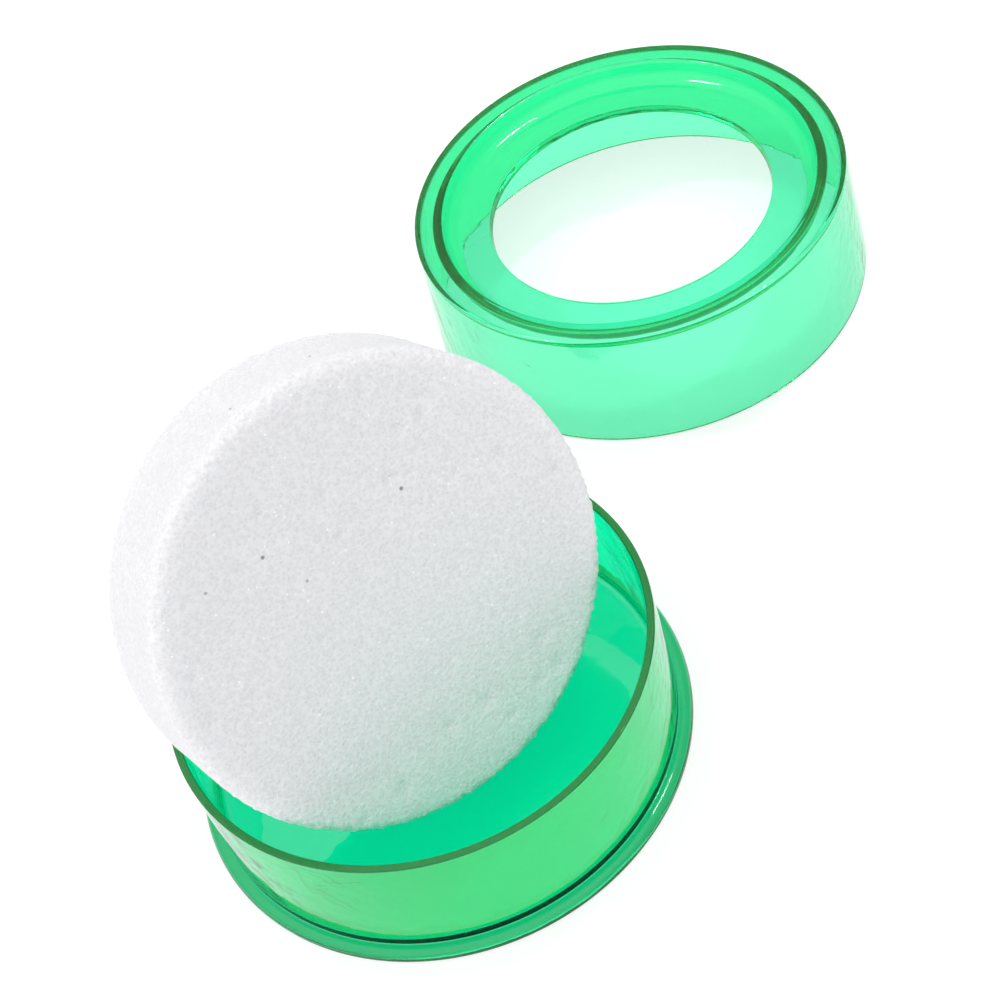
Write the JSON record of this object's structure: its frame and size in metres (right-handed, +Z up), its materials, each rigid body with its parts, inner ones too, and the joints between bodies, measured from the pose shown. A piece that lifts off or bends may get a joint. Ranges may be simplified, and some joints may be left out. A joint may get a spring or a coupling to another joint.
{
  "type": "sponge moistening pot",
  "caption": "Round open pot in clear green plastic with a foot flange, a white foam disc stood in it, and a ring lid with a dished top beside it.",
  "frame": {"origin": "centre of the cup's flat underside, on the surface that it stands on", "axes": "+Z up along the cup's axis; -Y towards the front, the side from which the foam disc's face is seen; the lid stands at +X +Y"},
  "size_m": [0.1592, 0.1658, 0.0786],
  "materials": {
    "clear_green_plastic": "smooth transparent green moulded plastic, glossy, faintly scuffed",
    "white_foam": "fine open-cell white foam, matte, with small cells"
  },
  "bodies": {
    "cup": {"base_cup": "clear_green_plastic"},
    "foam": {"foam_disc": "white_foam"},
    "lid_body": {"lid": "clear_green_plastic"}
  },
  "joints": [
    {"name": "lid_lift", "type": "slide", "parent": "cup", "child": "lid_body", "axis": [0, 0, 1], "range_m": [0, 0.06]},
    {"name": "foam_lift", "type": "slide", "parent": "cup", "child": "foam", "axis": [-0.1276, 0.3727, 0.9191], "range_m": [0, 0.045]}
  ]
}
